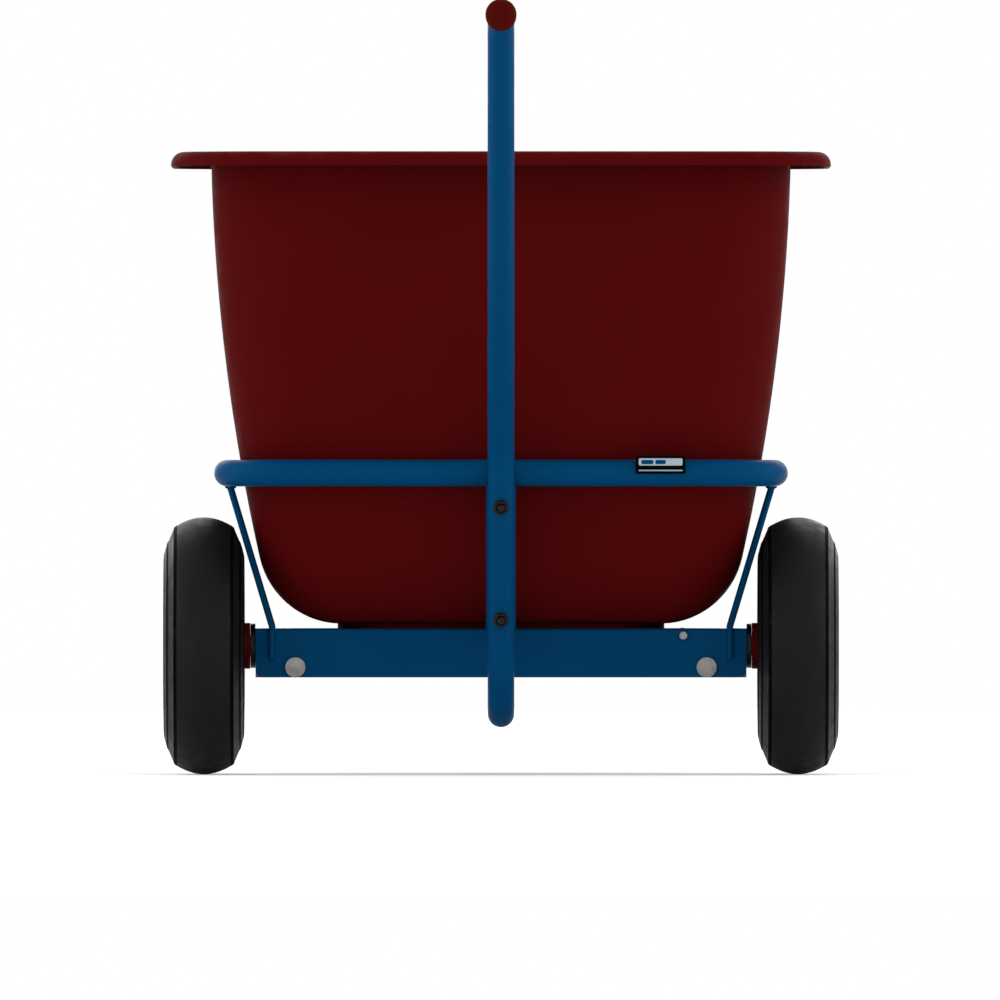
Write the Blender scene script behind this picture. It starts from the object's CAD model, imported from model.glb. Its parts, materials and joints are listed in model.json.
import json
import math

import bmesh
import bpy
from mathutils import Matrix, Vector


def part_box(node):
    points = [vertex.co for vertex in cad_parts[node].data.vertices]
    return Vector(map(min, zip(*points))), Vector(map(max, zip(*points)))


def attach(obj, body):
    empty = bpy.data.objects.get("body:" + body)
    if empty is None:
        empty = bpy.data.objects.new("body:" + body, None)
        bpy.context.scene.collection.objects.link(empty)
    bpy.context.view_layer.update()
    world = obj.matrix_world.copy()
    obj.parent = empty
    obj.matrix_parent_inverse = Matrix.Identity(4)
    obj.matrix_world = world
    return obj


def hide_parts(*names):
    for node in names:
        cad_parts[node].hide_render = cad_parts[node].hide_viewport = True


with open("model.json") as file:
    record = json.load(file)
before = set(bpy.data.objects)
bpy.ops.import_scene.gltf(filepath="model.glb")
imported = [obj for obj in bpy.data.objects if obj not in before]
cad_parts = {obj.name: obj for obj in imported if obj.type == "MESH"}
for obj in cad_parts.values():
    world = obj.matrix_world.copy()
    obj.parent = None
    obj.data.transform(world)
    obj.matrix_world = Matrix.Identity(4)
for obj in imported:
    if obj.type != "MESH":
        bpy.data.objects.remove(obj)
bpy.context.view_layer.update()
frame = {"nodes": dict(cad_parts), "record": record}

MM = 0.001
X, Y, Z = Vector((1, 0, 0)), Vector((0, 1, 0)), Vector((0, 0, 1))

# points closer than this are one point, and faces smaller than this have no area
SAME_POINT, NO_AREA = 1e-6, 1e-12

# M8 screws: thread radius, pitch, width across the nut's flats
M8_RADIUS, M8_PITCH, M8_FLATS = 4 * MM, 1.25 * MM, 13 * MM
# how far the handle tube leans back from upright, between its two bends
HANDLE_LEAN = math.radians(8.5)


# ---------------------------------------------------------------- places, from the frame

def low(node):
    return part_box(node)[0]


def high(node):
    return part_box(node)[1]


def middle(node):
    return (low(node) + high(node)) / 2


def extent(node):
    return high(node) - low(node)


# ---------------------------------------------------------------- materials

class Shader:
    """A Principled material with a few texture nodes laid over the object's own coordinates."""

    def __init__(self, name, color, roughness, metallic=0.0, specular=0.5):
        self.material = bpy.data.materials.new(name)
        self.material.use_nodes = True
        self.tree = self.material.node_tree
        self.base = self.tree.nodes["Principled BSDF"]
        self.color = color
        self.set("Base Color", (*color, 1))
        self.set("Roughness", roughness)
        self.set("Metallic", metallic)
        self.set("Specular IOR Level", specular)
        self.place = self.node("ShaderNodeTexCoord").outputs["Object"]
        self.normal = None

    def set(self, socket, value):
        self.base.inputs[socket].default_value = value

    def node(self, kind, **values):
        item = self.tree.nodes.new(kind)
        for key, value in values.items():
            if key in item.inputs:
                item.inputs[key].default_value = value
            else:
                setattr(item, key, value)
        return item

    def link(self, out, into):
        self.tree.links.new(out, into)

    def noise(self, scale, detail=3.0, stretch=None):
        item = self.node("ShaderNodeTexNoise", Scale=scale, Detail=detail)
        place = self.place
        if stretch:
            mapping = self.node("ShaderNodeMapping", Scale=stretch)
            self.link(place, mapping.inputs["Vector"])
            place = mapping.outputs["Vector"]
        self.link(place, item.inputs["Vector"])
        return item.outputs["Fac"]

    def ramp(self, fac, start, end, low_value=0.0, high_value=1.0):
        item = self.node("ShaderNodeMapRange")
        item.inputs["From Min"].default_value = start
        item.inputs["From Max"].default_value = end
        item.inputs["To Min"].default_value = low_value
        item.inputs["To Max"].default_value = high_value
        self.link(fac, item.inputs["Value"])
        return item.outputs["Result"]

    def product(self, first, second):
        item = self.node("ShaderNodeMath", operation="MULTIPLY")
        self.link(first, item.inputs[0])
        self.link(second, item.inputs[1])
        return item.outputs["Value"]

    def tint(self, mask, color):
        """Lay another colour over the base colour where the mask says."""
        mix = self.node("ShaderNodeMix", data_type="RGBA")
        self.link(mask, mix.inputs["Factor"])
        socket = self.base.inputs["Base Color"]
        if socket.is_linked:
            self.link(socket.links[0].from_socket, mix.inputs[6])
        else:
            mix.inputs[6].default_value = (*self.color, 1)
        mix.inputs[7].default_value = (*color, 1)
        self.link(mix.outputs[2], socket)
        return self

    def rough(self, fac, smooth, dull):
        self.link(self.ramp(fac, 0.3, 0.7, smooth, dull), self.base.inputs["Roughness"])
        return self

    def bump(self, fac, height, strength=1.0):
        item = self.node("ShaderNodeBump", Strength=strength, Distance=height)
        self.link(fac, item.inputs["Height"])
        if self.normal:
            self.link(self.normal, item.inputs["Normal"])
        self.normal = item.outputs["Normal"]
        self.link(self.normal, self.base.inputs["Normal"])
        return self

    def rounded(self, radius):
        """Catch the light along edges as if they were rounded."""
        item = self.node("ShaderNodeBevel", samples=6, Radius=radius)
        self.normal = item.outputs["Normal"]
        self.link(self.normal, self.base.inputs["Normal"])
        return self

    def edges(self, radius):
        """1 along worn edges, 0 on flat faces."""
        bevel = self.node("ShaderNodeBevel", samples=6, Radius=radius)
        geometry = self.node("ShaderNodeNewGeometry")
        dot = self.node("ShaderNodeVectorMath", operation="DOT_PRODUCT")
        self.link(bevel.outputs["Normal"], dot.inputs[0])
        self.link(geometry.outputs["Normal"], dot.inputs[1])
        return self.ramp(dot.outputs["Value"], 0.98, 0.8)

    def facing_up(self):
        """1 on faces that look up, 0 on walls and undersides."""
        geometry = self.node("ShaderNodeNewGeometry")
        split = self.node("ShaderNodeSeparateXYZ")
        self.link(geometry.outputs["Normal"], split.inputs["Vector"])
        return self.ramp(split.outputs["Z"], 0.5, 1.0)


def moulded_plastic(name, color, light, dust):
    """Thick moulded polyethylene: matt, with a fine orange peel and a little dust on top."""
    shader = Shader(name, color, 0.48, specular=0.005).rounded(1.2 * MM)
    patches = shader.noise(7.0, 4.0)
    shader.tint(shader.ramp(patches, 0.35, 0.75, 0.0, 0.45), light)
    grime = shader.product(shader.ramp(shader.noise(26.0, 6.0), 0.5, 0.8, 0.0, 0.2), shader.facing_up())
    shader.tint(grime, dust)
    shader.rough(shader.noise(55.0, 5.0), 0.42, 0.58)
    shader.bump(shader.noise(38.0, 2.0), 0.5 * MM, 0.25)
    return shader.bump(shader.noise(1100.0, 2.0), 0.12 * MM, 0.45).material


def powder_coat(name, color, light):
    """Satin powder coat on steel: fine orange peel, worn thin on sharp edges."""
    metal = (0.09, 0.10, 0.11)
    shader = Shader(name, color, 0.38, specular=0.012).rounded(0.8 * MM)
    shader.tint(shader.ramp(shader.noise(11.0, 4.0), 0.35, 0.75, 0.0, 0.4), light)
    chips = shader.product(shader.edges(1.2 * MM), shader.ramp(shader.noise(210.0, 5.0), 0.6, 0.7))
    shader.tint(chips, metal)
    shader.rough(shader.noise(60.0, 5.0), 0.3, 0.44)
    return shader.bump(shader.noise(520.0, 2.0), 0.15 * MM, 0.35).material


def tyre_rubber(name, color, dust):
    """Smooth black rubber, dulled unevenly by dust."""
    shader = Shader(name, color, 0.5, specular=0.08)
    shader.tint(shader.ramp(shader.noise(34.0, 7.0), 0.5, 0.8, 0.0, 0.35), dust)
    shader.rough(shader.noise(80.0, 5.0), 0.42, 0.6)
    return shader.bump(shader.noise(1500.0, 3.0), 0.1 * MM, 0.5).material


def plain_rubber(name, color):
    """Matt deep black rubber, hardly dusty."""
    shader = Shader(name, color, 0.7, specular=0.02).rounded(0.5 * MM)
    shader.tint(shader.ramp(shader.noise(90.0, 6.0), 0.55, 0.85, 0.0, 0.2), (0.03, 0.028, 0.026))
    return shader.bump(shader.noise(1800.0, 2.0), 0.06 * MM, 0.5).material


def zinc_plate(name, color, dark):
    """Bright zinc plating, cloudy and a little uneven in gloss."""
    shader = Shader(name, color, 0.34, metallic=1.0).rounded(0.3 * MM)
    shader.tint(shader.ramp(shader.noise(120.0, 6.0), 0.42, 0.7, 0.0, 0.6), dark)
    shader.rough(shader.noise(240.0, 5.0), 0.26, 0.46)
    return shader.bump(shader.noise(1600.0, 3.0), 0.03 * MM, 0.4).material


def brushed_sheet(name, color, dark):
    """Stainless sheet brushed along its length."""
    shader = Shader(name, color, 0.32, metallic=1.0).rounded(0.3 * MM)
    streaks = shader.noise(900.0, 4.0, stretch=(0.03, 1.0, 1.0))
    shader.tint(shader.ramp(streaks, 0.35, 0.7, 0.0, 0.5), dark)
    shader.rough(streaks, 0.26, 0.42)
    return shader.bump(streaks, 0.03 * MM, 0.35).material


def cast_metal(name, color, dark):
    """Dull cast metal with a sandy skin."""
    shader = Shader(name, color, 0.5, metallic=1.0).rounded(0.6 * MM)
    shader.tint(shader.ramp(shader.noise(70.0, 6.0), 0.4, 0.7, 0.0, 0.6), dark)
    shader.rough(shader.noise(150.0, 4.0), 0.42, 0.62)
    return shader.bump(shader.noise(700.0, 4.0), 0.15 * MM, 0.6).material


def plate_face(name, color, dark):
    """The blank plate's satin face, with light scuffs along it."""
    shader = Shader(name, color, 0.3, metallic=0.35)
    scuffs = shader.noise(700.0, 4.0, stretch=(0.08, 1.0, 1.0))
    shader.tint(shader.ramp(scuffs, 0.4, 0.75, 0.0, 0.35), dark)
    shader.rough(scuffs, 0.24, 0.4)
    return shader.bump(scuffs, 0.02 * MM, 0.3).material


def floor_paint(name, color, dark):
    """Flat pale paint with faint broad clouds."""
    shader = Shader(name, color, 0.85, specular=0.1)
    shader.tint(shader.ramp(shader.noise(1.7, 5.0), 0.3, 0.8, 0.0, 0.4), dark)
    return shader.material


LOOKS = {
    "hopper_plastic": moulded_plastic("moulded_red", (0.061, 0.0022, 0.0025), (0.076, 0.0030, 0.0034),
                                      (0.15, 0.09, 0.07)),
    "frame_paint": powder_coat("powder_blue", (0.0003, 0.041, 0.114), (0.0006, 0.053, 0.142)),
    "tyre_rubber": tyre_rubber("tyre_black", (0.0060, 0.0060, 0.0062), (0.013, 0.0125, 0.012)),
    "wheel_paint": powder_coat("powder_red", (0.075, 0.0030, 0.0028), (0.095, 0.0042, 0.0038)),
    "zinc_steel": zinc_plate("zinc", (0.215, 0.215, 0.208), (0.135, 0.135, 0.132)),
    "stainless_plate": brushed_sheet("brushed_stainless", (0.42, 0.42, 0.41), (0.28, 0.28, 0.28)),
    "bearing_steel": zinc_plate("bearing_steel", (0.20, 0.20, 0.21), (0.11, 0.11, 0.12)),
    "dark_steel": zinc_plate("black_steel", (0.020, 0.020, 0.022), (0.009, 0.009, 0.010)),
    "cast_alloy": cast_metal("cast_alloy", (0.11, 0.11, 0.11), (0.06, 0.06, 0.06)),
    "grip_plastic": moulded_plastic("grip_red", (0.052, 0.0028, 0.0020), (0.064, 0.0038, 0.0030),
                                    (0.09, 0.06, 0.045)),
    "black_rubber": plain_rubber("rubber_black", (0.0008, 0.0008, 0.0008)),
    "plate_alloy": plate_face("plate_face", (0.30, 0.36, 0.42), (0.16, 0.20, 0.25)),
}
BRASS = zinc_plate("valve_brass", (0.46, 0.31, 0.12), (0.30, 0.19, 0.07))


def dress_frame():
    """Give every CAD node the finish of its record slot."""
    for part in frame["record"]["subparts"]:
        node = frame["nodes"][part["node"]]
        for place in node.material_slots:
            place.material = LOOKS[part["material_slot"]]


# ---------------------------------------------------------------- shapes: lists of points and faces

def frame_at(origin, axis):
    """The matrix that stands local Z on an axis through a point."""
    return Matrix.Translation(origin) @ axis.to_track_quat("Z", "Y").to_matrix().to_4x4()


def rings(rows, closed_row=True):
    """Join equal rows of points into quads."""
    points = [point for row in rows for point in row]
    count = len(rows[0])
    faces = []
    for i in range(len(rows) - 1):
        for j in range(count if closed_row else count - 1):
            k = (j + 1) % count
            faces.append((i * count + j, i * count + k, (i + 1) * count + k, (i + 1) * count + j))
    return points, faces


def lathe(profile, matrix, segments=64):
    """Turn (along, radius) points about local Z."""
    turn = [2 * math.pi * j / segments for j in range(segments)]
    rows = [[matrix @ Vector((r * math.cos(a), r * math.sin(a), z)) for a in turn] for z, r in profile]
    return rings(rows)


def hexagon(flats, height, bore, matrix, segments=72):
    """A nut or bolt head with chamfered corners; a bore of zero closes its top."""
    turn = [2 * math.pi * j / segments for j in range(segments)]
    circle = 0.475 * flats
    edge = [flats / 2 / math.cos((a % (math.pi / 3)) - math.pi / 6) for a in turn]
    drop = [(r - circle) * math.tan(math.radians(30)) for r in edge]

    def row(radii, heights):
        return [matrix @ Vector((r * math.cos(a), r * math.sin(a), z)) for a, r, z in zip(turn, radii, heights)]

    def level(radius, z):
        return row([radius] * segments, [z] * segments)

    rows = [level(bore, 0.0), level(circle, 0.0), row(edge, drop), row(edge, [height - d for d in drop]),
            level(circle, height), level(bore + 0.08 * flats if bore else 0.3 * flats, height)]
    if bore:
        rows += [level(bore, height - 0.06 * flats), level(bore, 0.0)]
    else:
        rows += [level(0.24 * flats, height - 0.03 * flats), level(0.0, height - 0.03 * flats)]
    return rings(rows)


def thread(radius, length, pitch, matrix, segments=28):
    """A screw thread with a chamfered, closed far end."""
    steps = max(2, int(length / pitch * 4))
    depth = 0.55 * pitch
    rows = []
    for i in range(steps + 1):
        z = length * i / steps
        row = []
        for j in range(segments):
            a = 2 * math.pi * j / segments
            phase = (z / pitch - j / segments) % 1.0
            r = radius - depth * abs(2 * phase - 1)
            r = min(r, radius - depth + max(0.0, length - z) * 1.2)
            row.append(matrix @ Vector((r * math.cos(a), r * math.sin(a), z)))
        rows.append(row)
    rows.append([matrix @ Vector((0, 0, length))] * segments)
    return rings(rows)


def bead(path, radius, ripple, sides=10):
    """A weld bead along a path of points: a thick line whose swelling repeats every ripple."""
    fine = []
    for a, b in zip(path, path[1:]):
        steps = max(1, int((b - a).length / (ripple / 4)))
        fine += [a.lerp(b, i / steps) for i in range(steps)]
    fine.append(path[-1])
    rows = []
    travelled = 0.0
    for i, point in enumerate(fine):
        along = (fine[min(i + 1, len(fine) - 1)] - fine[max(i - 1, 0)]).normalized()
        side = along.orthogonal().normalized()
        up = along.cross(side)
        swell = 1.0 + 0.16 * abs(math.sin(math.pi * travelled / ripple))
        end = 0.25 if i in (0, len(fine) - 1) else 1.0
        turn = [2 * math.pi * j / sides for j in range(sides)]
        rows.append([point + (side * math.cos(a) + up * math.sin(a)) * radius * swell * end for a in turn])
        if i + 1 < len(fine):
            travelled += (fine[i + 1] - point).length
    return rings(rows)


def arc(center, first, second, radius, start, end, steps):
    """Points on a circle through two directions."""
    turn = [math.radians(start + (end - start) * i / steps) for i in range(steps + 1)]
    return [center + (first * math.cos(a) + second * math.sin(a)) * radius for a in turn]


def piece(name, shapes, look, body, replaced=(), sharp=32, merge=True):
    """One object from several shapes, riding on a body. Its look is a record slot, or BRASS."""
    points, faces = [], []
    for shape_points, shape_faces in shapes:
        base = len(points)
        points += shape_points
        faces += [tuple(base + i for i in face) for face in shape_faces]
    mesh = bpy.data.meshes.new(name)
    mesh.from_pydata([tuple(point) for point in points], [], faces)
    obj = bpy.data.objects.new(name, mesh)
    bpy.context.scene.collection.objects.link(obj)
    clean(mesh, merge)
    for face in mesh.polygons:
        face.use_smooth = True
    mesh.set_sharp_from_angle(angle=math.radians(sharp))
    mesh.materials.append(LOOKS[look] if isinstance(look, str) else look)
    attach(obj, body)
    if replaced:
        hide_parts(*replaced)
    return obj


def clean(mesh, merge):
    """Merge the points that meet at poles and turn every face outwards."""
    work = bmesh.new()
    work.from_mesh(mesh)
    if merge:
        bmesh.ops.remove_doubles(work, verts=work.verts, dist=SAME_POINT)
    loose = [face for face in work.faces if face.calc_area() < NO_AREA]
    bmesh.ops.delete(work, geom=loose, context="FACES_ONLY")
    bmesh.ops.recalc_face_normals(work, faces=work.faces)
    work.to_mesh(mesh)
    work.free()


# ---------------------------------------------------------------- wheels

def band(start, end, proud, depth):
    """Section of a thin band that lies on the straight line from start to end, (along, radius)."""
    a, b = Vector(start), Vector(end)
    along = (b - a).normalized()
    outward = Vector((-along.y, along.x))
    if outward.x < 0:
        outward = -outward
    rows = [a - outward * depth, a, a + along * proud + outward * proud,
            b - along * proud + outward * proud, b, b - outward * depth]
    return [tuple(point) for point in rows + rows[:1]]


def tyre_sections(radius, half):
    """The tyre's closed section and those of its side lines, all as (along, radius)."""
    crown_half, crown_drop = 30.5 * MM, 10.5 * MM
    bead_radius = 51 * MM
    side = [(31.5 * MM, bead_radius), (32.3 * MM, 57.8 * MM), (34.4 * MM, 60.0 * MM), (35.3 * MM, 61.6 * MM),
            (35.1 * MM, 63.0 * MM), (36.9 * MM, 66.0 * MM), (38.6 * MM, 70.0 * MM), (39.7 * MM, 74.0 * MM),
            (39.6 * MM, 75.0 * MM), (half, 76.6 * MM), (half, radius - 44 * MM)]
    slope = [(x * MM, radius - drop * MM) for x, drop in (
        (40.55, 40.8), (39.9, 36.0), (38.9, 31.5), (37.6, 27.8), (36.0, 24.2), (34.3, 20.2),
        (32.6, 16.2), (31.2, 12.9), (30.5, 10.8))]
    side += slope
    crown, steps = [], 18
    for i in range(1, steps):
        along = crown_half * (1 - 2 * i / steps)
        crown.append((along, radius - crown_drop * (along / crown_half) ** 2 * 0.98))
    outside = side + crown + [(-x, r) for x, r in reversed(side)]
    wall = 6 * MM
    inside = [(-25 * MM, bead_radius), (-27 * MM, 62 * MM), (-34 * MM, 76 * MM), (-34 * MM, 88 * MM),
              (-24 * MM, radius - crown_drop - wall), (0, radius - wall), (24 * MM, radius - crown_drop - wall),
              (34 * MM, 88 * MM), (34 * MM, 76 * MM), (27 * MM, 62 * MM), (25 * MM, bead_radius)]
    spans = ((slope[0], slope[1]), (slope[3], slope[4]), (slope[-1], crown[0]))
    lines = [band(start, end, 0.3 * MM, 0.8 * MM) for start, end in spans]
    return outside + inside + [outside[0]], lines


def tyre(side_name):
    """A smooth casing with three dark raised lines on each side."""
    node = side_name + "_tyre"
    size = extent(node)
    profile, lines = tyre_sections(size.z / 2, size.x / 2)
    shape = lathe(profile, frame_at(middle(node), X), segments=144)
    raised = [lathe(line, frame_at(middle(node), way), segments=144) for line in lines for way in (X, -X)]
    piece(side_name + "_tyre_lines", raised, "black_rubber", side_name + "_wheel")
    piece(side_name + "_tyre_casing", [shape], "tyre_rubber", side_name + "_wheel", (node,), sharp=24)


def rim_fasteners(side_name, sign):
    """Chamfered heads outside, nuts and threaded ends inside."""
    body = side_name + "_wheel"
    center = middle(side_name + "_tyre")
    bolts, nuts = side_name + "_rim_bolts", side_name + "_rim_nuts"
    head_height = 5.3 * MM
    circle = extent(bolts).y / 2 - M8_FLATS / 2
    outer_face = (high(bolts).x if sign > 0 else low(bolts).x) - sign * head_height
    nut_face = high(nuts).x if sign > 0 else low(nuts).x
    heads, nut_shapes = [], []
    for i in range(4):
        angle = math.radians(90 * i)
        spoke = Y * math.cos(angle) * circle + Z * math.sin(angle) * circle
        at = Vector((0, center.y, center.z)) + spoke
        heads.append(hexagon(M8_FLATS, head_height, 0.0, frame_at(at + X * outer_face, X * sign)))
        start = at + X * nut_face
        heads.append(thread(M8_RADIUS, 9 * MM, M8_PITCH, frame_at(start, -X * sign)))
        nut_shapes.append(hexagon(M8_FLATS, 6.5 * MM, M8_RADIUS, frame_at(start, -X * sign)))
        washer = [(0, M8_RADIUS), (0, 7.2 * MM), (0.5 * MM, 7.4 * MM), (0.5 * MM, M8_RADIUS)]
        nut_shapes.append(lathe(washer, frame_at(start, -X * sign), 32))
    piece(side_name + "_rim_bolt_set", heads, "zinc_steel", body, (bolts,))
    piece(side_name + "_rim_nut_set", nut_shapes, "zinc_steel", body, (nuts,))


def axle_cap(side_name, sign):
    """A domed push-on cap with a rolled brim."""
    node = side_name + "_axle_cap"
    inner = low(node).x if sign > 0 else high(node).x
    depth, radius = extent(node).x, extent(node).z / 2
    profile = [(0, 10 * MM), (0, radius - 0.6 * MM), (0.3 * MM, radius - 0.1 * MM), (0.8 * MM, radius),
               (1.5 * MM, radius - 0.5 * MM), (1.8 * MM, radius - 2.2 * MM), (1.9 * MM, radius - 3.2 * MM),
               (2.6 * MM, radius - 3.7 * MM), (4.6 * MM, radius - 3.9 * MM)]
    crown = depth - 4.6 * MM
    for i in range(1, 9):
        angle = math.radians(90 * i / 8)
        profile.append((4.6 * MM + crown * math.sin(angle), (radius - 3.9 * MM) * math.cos(angle)))
    shape = lathe(profile, frame_at(Vector((inner, middle(node).y, middle(node).z)), X * sign), 72)
    piece(side_name + "_axle_dome", [shape], "zinc_steel", "frame", (node,))


def valve(side_name, sign):
    """A short rubber valve with a brass thread and a ribbed cap."""
    node = side_name + "_valve"
    wheel = middle(side_name + "_tyre")
    up = (Y + Z).normalized()
    along = (X * sign - up * 0.9).normalized()
    start = wheel + X * sign * 14 * MM + up * 51 * MM
    stem = [(0, 3.4 * MM), (9 * MM, 3.8 * MM), (11 * MM, 4.4 * MM), (12.2 * MM, 4.2 * MM), (12.6 * MM, 3 * MM),
            (12.6 * MM, 0)]
    body = side_name + "_wheel"
    piece(side_name + "_valve_foot", [lathe(stem, frame_at(start, along), 32)], "black_rubber", body, (node,))
    screw = thread(2.5 * MM, 8 * MM, 0.8 * MM, frame_at(start + along * 12 * MM, along))
    piece(side_name + "_valve_thread", [screw], BRASS, body)
    cap = [(0, 2.6 * MM), (0, 3.2 * MM)]
    for i in range(7):
        cap += [((0.8 + i) * MM, 3.3 * MM), ((1.2 + i) * MM, 3.05 * MM)]
    cap += [(8.2 * MM, 3.2 * MM), (9.0 * MM, 2.6 * MM), (9.3 * MM, 1.2 * MM), (9.3 * MM, 0)]
    piece(side_name + "_valve_cap", [lathe(cap, frame_at(start + along * 15 * MM, along), 32)],
          "black_rubber", body)


# ---------------------------------------------------------------- fasteners on the frame

def corners_of(node, inset):
    """X and Y of the four pieces of a node that stand in a rectangle."""
    first, last = low(node), high(node)
    return [(x, y) for x in (first.x + inset.x, last.x - inset.x) for y in (first.y + inset.y, last.y - inset.y)]


def hopper_fixings():
    """Hexagon screws and washers below the beam, into the tub's moulded inserts."""
    screws, washers = "hopper_screws", "hopper_washers"
    flats, height, shank = 10 * MM, 4 * MM, 3 * MM
    radius, thick = 9 * MM, extent(washers).z
    rim = [(0, shank), (0, radius - 0.2 * MM), (0.3 * MM, radius), (thick - 0.3 * MM, radius),
           (thick, radius - 0.4 * MM), (thick, shank), (0, shank)]
    heads, rings_below = [], []
    for x, y in corners_of(washers, Vector((radius, radius, 0))):
        seat, under = Vector((x, y, high(washers).z)), Vector((x, y, low(washers).z))
        heads.append(hexagon(flats, height, 0.0, frame_at(under, -Z)))
        stem = [(0, 0), (0, shank), (high(screws).z - under.z, shank), (high(screws).z - under.z, 0)]
        heads.append(lathe(stem, frame_at(under, Z), 32))
        rings_below.append(lathe(rim, frame_at(seat, -Z), 56))
    piece("hopper_hex_screws", heads, "zinc_steel", "frame", (screws,))
    piece("hopper_plain_washers", rings_below, "zinc_steel", "frame", (washers,))


def thrust_ring(side_name):
    """The blackened washer between the beam's end and the hub."""
    node = side_name + "_thrust_washer"
    outer, thick = extent(node).z / 2, extent(node).x
    bore = min(extent(side_name + "_stub_axle").y / 2, outer - 4 * MM)
    ring = [(0, bore), (0, outer - 0.3 * MM), (0.3 * MM, outer), (thick - 0.3 * MM, outer),
            (thick, outer - 0.3 * MM), (thick, bore), (0, bore)]
    spot = Vector((low(node).x, middle(node).y, middle(node).z))
    piece(side_name + "_thrust_ring", [lathe(ring, frame_at(spot, X), 64)], "dark_steel", "frame", (node,))


def block_fixings():
    """Carriage bolts with low, wide heads on the beam's rear face."""
    bolts, nuts = "axle_block_bolts", "axle_block_nuts"
    radius, height, edge = 10.3 * MM, 4.9 * MM, 3.3 * MM
    back = low(bolts).y + height
    bolt_shapes, nut_shapes = [], []
    for x in (low(bolts).x + radius, high(bolts).x - radius):
        at = Vector((x, 0, middle(bolts).z))
        dome = [(0, 0), (0, radius - 0.2 * MM), (0.3 * MM, radius), (edge, radius),
                (edge + 0.25 * MM, radius - 0.2 * MM)]
        for i in range(1, 9):
            share = 0.97 * (1 - i / 8)
            dome.append((edge + (height - edge) * (1 - share ** 2), radius * share))
        bolt_shapes.append(lathe(dome, frame_at(at + Y * back, -Y), 64))
        end = high(bolts).y - low(nuts).y
        bolt_shapes.append(thread(M8_RADIUS, end, M8_PITCH, frame_at(at + Y * low(nuts).y, Y)))
        nut_shapes.append(hexagon(M8_FLATS, extent(nuts).y, M8_RADIUS, frame_at(at + Y * low(nuts).y, Y)))
    piece("axle_block_dome_bolts", bolt_shapes, "zinc_steel", "frame", (bolts,))
    piece("axle_block_hex_nuts", nut_shapes, "zinc_steel", "frame", (nuts,))


def handle_fixings():
    """Nuts, washers and bolt ends on the user's side of the tube, heads behind the strap."""
    back = Vector((0, -math.cos(HANDLE_LEAN), -math.sin(HANDLE_LEAN)))
    nut_height, washer_height, head_height = 6.5 * MM, 1.6 * MM, 5.3 * MM
    washers = "handle_washers"
    radius = 8 * MM
    reach_y = (radius * math.sin(HANDLE_LEAN) + washer_height / 2 * math.cos(HANDLE_LEAN))
    reach_z = (radius * math.cos(HANDLE_LEAN) + washer_height / 2 * math.sin(HANDLE_LEAN))
    first, last = low(washers), high(washers)
    centers = [Vector((0, last.y - reach_y, first.z + reach_z)), Vector((0, first.y + reach_y, last.z - reach_z))]
    through = extent("handle_tube").x + 5 * MM
    nut_shapes, washer_shapes, bolt_shapes = [], [], []
    for center in centers:
        seat = center - back * washer_height / 2
        rim = [(0, 4.2 * MM), (0, radius - 0.3 * MM), (0.3 * MM, radius), (1.3 * MM, radius),
               (washer_height, radius - 0.4 * MM), (washer_height, 4.2 * MM), (0, 4.2 * MM)]
        washer_shapes.append(lathe(rim, frame_at(seat, back), 48))
        nut_seat = seat + back * washer_height
        nut_shapes.append(hexagon(M8_FLATS, nut_height, M8_RADIUS, frame_at(nut_seat, back)))
        bolt_shapes.append(thread(M8_RADIUS, nut_height + 2.9 * MM, M8_PITCH, frame_at(nut_seat, back)))
        bolt_shapes.append(hexagon(M8_FLATS, head_height, 0.0, frame_at(seat - back * through, -back)))
    piece("handle_hex_nuts", nut_shapes, "dark_steel", "frame", ("handle_nuts",))
    piece("handle_plain_washers", washer_shapes, "dark_steel", "frame", (washers,))
    piece("handle_hex_bolts", bolt_shapes, "dark_steel", "frame", ("handle_bolts",))


def lever_fixings():
    """The nut on the lever's pivot and the ball knob at its end."""
    node = "lever_nut"
    at = Vector((middle(node).x, low(node).y, middle(node).z))
    nut = hexagon(M8_FLATS, extent(node).y, M8_RADIUS, frame_at(at, Y))
    piece("lever_hex_nut", [nut], "zinc_steel", "rate_control", (node,))
    knob = "lever_knob"
    radius = extent(knob).x / 2
    base = Vector((middle(knob).x, low(knob).y, middle(knob).z))
    length = extent(knob).y
    profile = [(0, 2.4 * MM), (4.2 * MM, 2.4 * MM), (4.2 * MM, 6.6 * MM), (4.8 * MM, 7 * MM), (8 * MM, 7 * MM),
               (10 * MM, 7.8 * MM)]
    ball = 12 * MM
    for i in range(15):
        angle = math.radians(-50 + 140 * i / 14)
        along = length - ball + ball * math.sin(angle)
        profile.append((along, radius * max(0.0, math.cos(angle)) ** 0.8))
    piece("lever_ball_knob", [lathe(profile, frame_at(base, Y), 64)], "grip_plastic", "rate_control", (knob,),
          sharp=50)


# ---------------------------------------------------------------- handle, plate and foot

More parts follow.
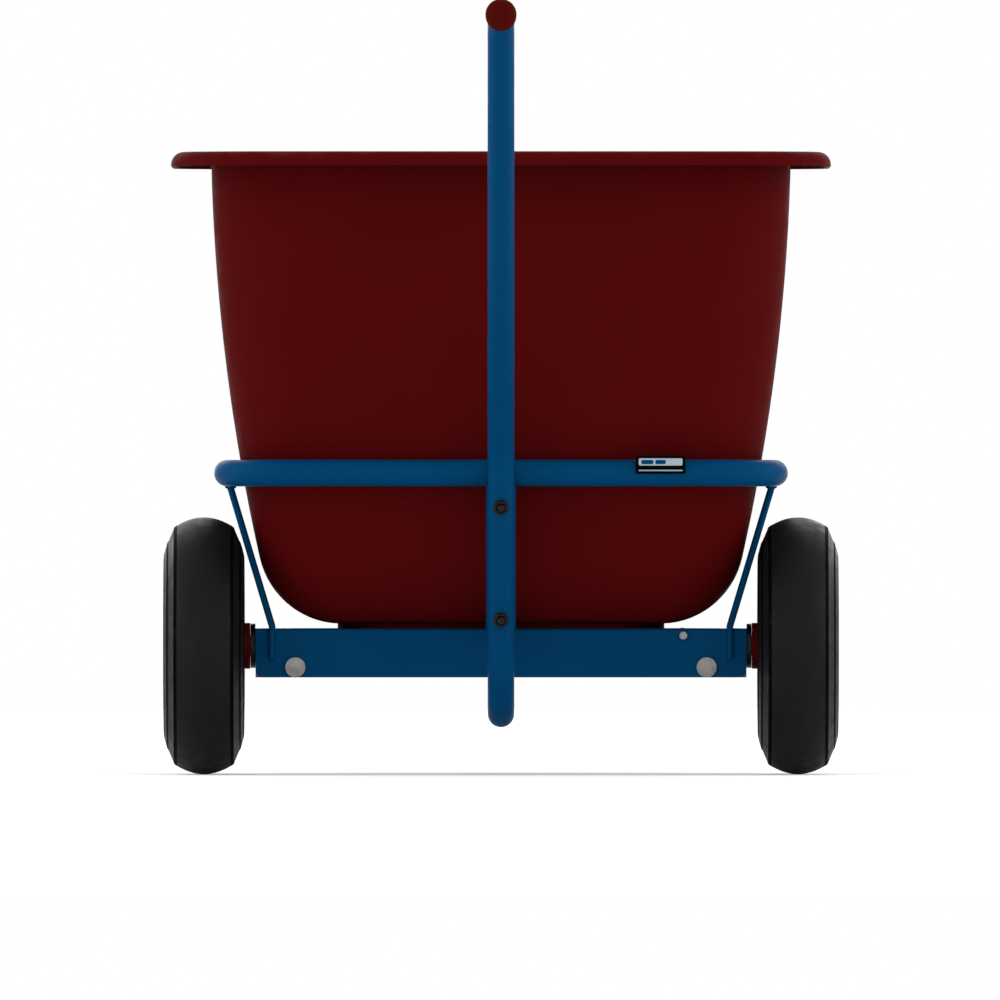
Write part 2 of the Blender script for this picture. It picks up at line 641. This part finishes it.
def grip():
    """A moulded sleeve with fine rings, a collar at its mouth and a domed end."""
    node = "grip"
    radius = extent(node).x / 2
    mouth = Vector((middle(node).x, high(node).y, middle(node).z))
    length = extent(node).y
    wall = [(0, 13.5 * MM), (0, radius - 0.5 * MM), (0.6 * MM, radius), (4.6 * MM, radius),
            (5.4 * MM, radius - 0.6 * MM), (6.6 * MM, radius - 1.1 * MM)]
    ring_start, ring_pitch, ring_count = 14 * MM, 5.2 * MM, 15
    for i in range(ring_count):
        at = ring_start + i * ring_pitch
        wall += [(at, radius - 1.1 * MM), (at + 0.7 * MM, radius - 0.35 * MM), (at + 1.6 * MM, radius - 0.1 * MM),
                 (at + 2.5 * MM, radius - 0.35 * MM), (at + 3.2 * MM, radius - 1.1 * MM)]
    dome = 11 * MM
    wall += [(length - dome - 5 * MM, radius - 1.1 * MM), (length - dome - 3.4 * MM, radius - 0.2 * MM),
             (length - dome - 2 * MM, radius)]
    for i in range(13):
        angle = math.radians(90 * i / 12)
        wall.append((length - dome + dome * math.sin(angle), radius * math.cos(angle) ** 0.85))
    piece("grip_sleeve", [lathe(wall, frame_at(mouth, -Y), 96)], "grip_plastic", "frame", (node,), sharp=40)


def block(first, last, soft):
    """A box between two corners with its rearmost (low Y) edges eased."""
    corner = min(1.6 * MM, 0.35 * (last.z - first.z))
    rows = []
    for inset, y in ((soft, first.y), (0.3 * soft, first.y + 0.3 * soft), (0, first.y + soft), (0, last.y)):
        row = []
        for cx, cz, start in ((last.x, last.z, 0), (first.x, last.z, 90),
                              (first.x, first.z, 180), (last.x, first.z, 270)):
            sx = -1 if cx == last.x else 1
            sz = -1 if cz == last.z else 1
            hub = Vector((cx + sx * (corner + inset), y, cz + sz * (corner + inset)))
            row += arc(hub, X, Z, corner, start, start + 90, 5)
        rows.append(row)
    points, faces = rings(rows)
    count = len(rows[0])
    faces.append(tuple(range(count)))
    faces.append(tuple(len(points) - count + i for i in reversed(range(count))))
    return points, faces


def name_plate():
    """A blank plate: black frame, a pale field with two plain bars, a thin strip below."""
    node = "name_plate"
    first, last = low(node), high(node)
    near, far = Vector((first.x, first.y + 0.6 * MM, first.z)), Vector((last.x, first.y + 6 * MM, last.z))
    piece("plate_frame", [block(near, far, 0.8 * MM)], "black_rubber", "frame", (node,), sharp=40)
    margin, front = 2.8 * MM, first.y + 1.2 * MM
    left, right = first.x + margin, last.x - margin

    def panel(name, start_x, end_x, bottom, top, look, proud=0.0):
        near = Vector((start_x, first.y - proud + 0.1 * MM, bottom))
        piece(name, [block(near, Vector((end_x, front, top)), 0.25 * MM)], look, "frame", sharp=40)

    panel("plate_field", left, right, first.z + 8.2 * MM, last.z - 2.4 * MM, "plate_alloy")
    panel("plate_strip", left, right, first.z + 2.6 * MM, first.z + 4.0 * MM, "plate_alloy")
    for i, (start, end) in enumerate(((0.06, 0.34), (0.38, 0.62))):
        bar_left, bar_right = left + (right - left) * start, left + (right - left) * end
        panel("plate_bar_%d" % i, bar_left, bar_right, first.z + 9.6 * MM, first.z + 14.0 * MM,
              "frame_paint", 0.1 * MM)


# ---------------------------------------------------------------- welds

def weld_marks():
    """Painted beads where rods, strap, saddle and hoop are welded."""
    beads = []
    hoop_z, tube = middle("hoop").z, extent("hoop").z / 2
    for row in ("rear", "front"):
        for side_name, sign in (("left", -1), ("right", 1)):
            rod = "%s_%s_brace" % (row, side_name)
            radius = extent(rod).y / 2
            y = middle(rod).y
            top_x = (high(rod).x if sign > 0 else low(rod).x) - sign * radius
            ring = arc(Vector((top_x, y, hoop_z - tube - 0.6 * MM)), X, Y, radius + 0.8 * MM, 0, 360, 20)
            beads.append(bead(ring, 1.3 * MM, 1.8 * MM))
            foot_x = (low(rod).x if sign > 0 else high(rod).x) + sign * radius
            face = y + radius if row == "rear" else y - radius
            for edge in (-1, 1):
                x = foot_x + edge * (radius - 0.3 * MM)
                near = face - 0.4 * MM if row == "rear" else face + 0.4 * MM
                start = Vector((x, near, low(rod).z + 2 * MM))
                beads.append(bead([start, start + Z * 26 * MM], 1.1 * MM, 1.8 * MM))
    strap = "handle_strap"
    half = extent(strap).x / 2
    top = high(strap).z - 0.4 * MM
    start = Vector((-half + 1 * MM, low(strap).y + 5.4 * MM, top))
    beads.append(bead([start, start + X * 2 * (half - 1 * MM)], 1.8 * MM, 2.2 * MM))
    beam_top = high("axle_beam").z
    end = Vector((-half + 1 * MM, high(strap).y + 0.6 * MM, beam_top + 0.8 * MM))
    beads.append(bead([end, end + X * 2 * (half - 1 * MM)], 1.6 * MM, 2.2 * MM))
    for edge in (-1, 1):
        side = Vector((edge * (half + 0.3 * MM), low("axle_beam").y + 3 * MM, beam_top + 0.6 * MM))
        beads.append(bead([side, Vector((side.x, high(strap).y, side.z))], 1.4 * MM, 2.0 * MM))
        saddle = "tube_saddle"
        x = edge * (extent(saddle).x / 2 + 0.2 * MM)
        under = Vector((x, low(saddle).y + 2 * MM, high(saddle).z - 0.7 * MM))
        beads.append(bead([under, under + Y * (extent(saddle).y - 4 * MM)], 1.5 * MM, 2.2 * MM))
    piece("weld_beads", beads, "frame_paint", "frame", sharp=80, merge=False)


# ---------------------------------------------------------------- stage, light and camera

def stage():
    """A wide pale floor."""
    bpy.ops.mesh.primitive_circle_add(vertices=96, radius=14.0, fill_type="NGON", location=(0, 0, 0))
    floor = bpy.context.object
    floor.name = "floor"
    floor.data.materials.append(floor_paint("floor_pale", (0.90, 0.90, 0.90), (0.86, 0.86, 0.86)))


def sun(name, direction, strength, angle):
    """A distant light that shines along a direction, as soft as its angle is wide."""
    data = bpy.data.lights.new(name, "SUN")
    data.energy = strength
    data.angle = math.radians(angle)
    lamp = bpy.data.objects.new(name, data)
    lamp.rotation_mode = "QUATERNION"
    lamp.rotation_quaternion = Vector(direction).to_track_quat("-Z", "Y")
    bpy.context.scene.collection.objects.link(lamp)


def lights():
    """A bright even studio, with soft banks on all four sides of the machine."""
    sun("left_bank", (1.0, 0.0, -0.2), 1.65, 60)
    sun("right_bank", (-1.0, 0.0, -0.2), 1.65, 60)
    sun("front_bank", (0.0, -1.0, -0.35), 1.5, 60)
    sun("rear_bank", (0.0, 1.0, -0.3), 0.2, 60)
    world = bpy.data.worlds.new("studio")
    world.use_nodes = True
    bpy.context.scene.world = world
    background = world.node_tree.nodes["Background"]
    background.inputs["Color"].default_value = (1, 1, 1, 1)
    background.inputs["Strength"].default_value = 1.0


def camera():
    """Level and straight behind the machine, through a very long lens."""
    lens, sensor, frame_width, height = 1600.0, 36.0, 1.012, 0.2775
    data = bpy.data.cameras.new("camera")
    data.lens = lens
    data.sensor_width = sensor
    data.clip_end = 200.0
    item = bpy.data.objects.new("camera", data)
    axle_y = middle("left_stub_axle").y
    item.location = (-0.001, axle_y - frame_width * lens / sensor, height)
    item.rotation_euler = (math.radians(90), 0, 0)
    bpy.context.scene.collection.objects.link(item)
    bpy.context.scene.camera = item


def build():
    camera()
    dress_frame()
    for side_name, sign in (("left", -1), ("right", 1)):
        tyre(side_name)
        rim_fasteners(side_name, sign)
        axle_cap(side_name, sign)
        valve(side_name, sign)
    hopper_fixings()
    for side_name in ("left", "right"):
        thrust_ring(side_name)
    block_fixings()
    handle_fixings()
    lever_fixings()
    grip()
    name_plate()
    weld_marks()
    stage()
    lights()
    bpy.context.scene.view_settings.view_transform = "Standard"


build()
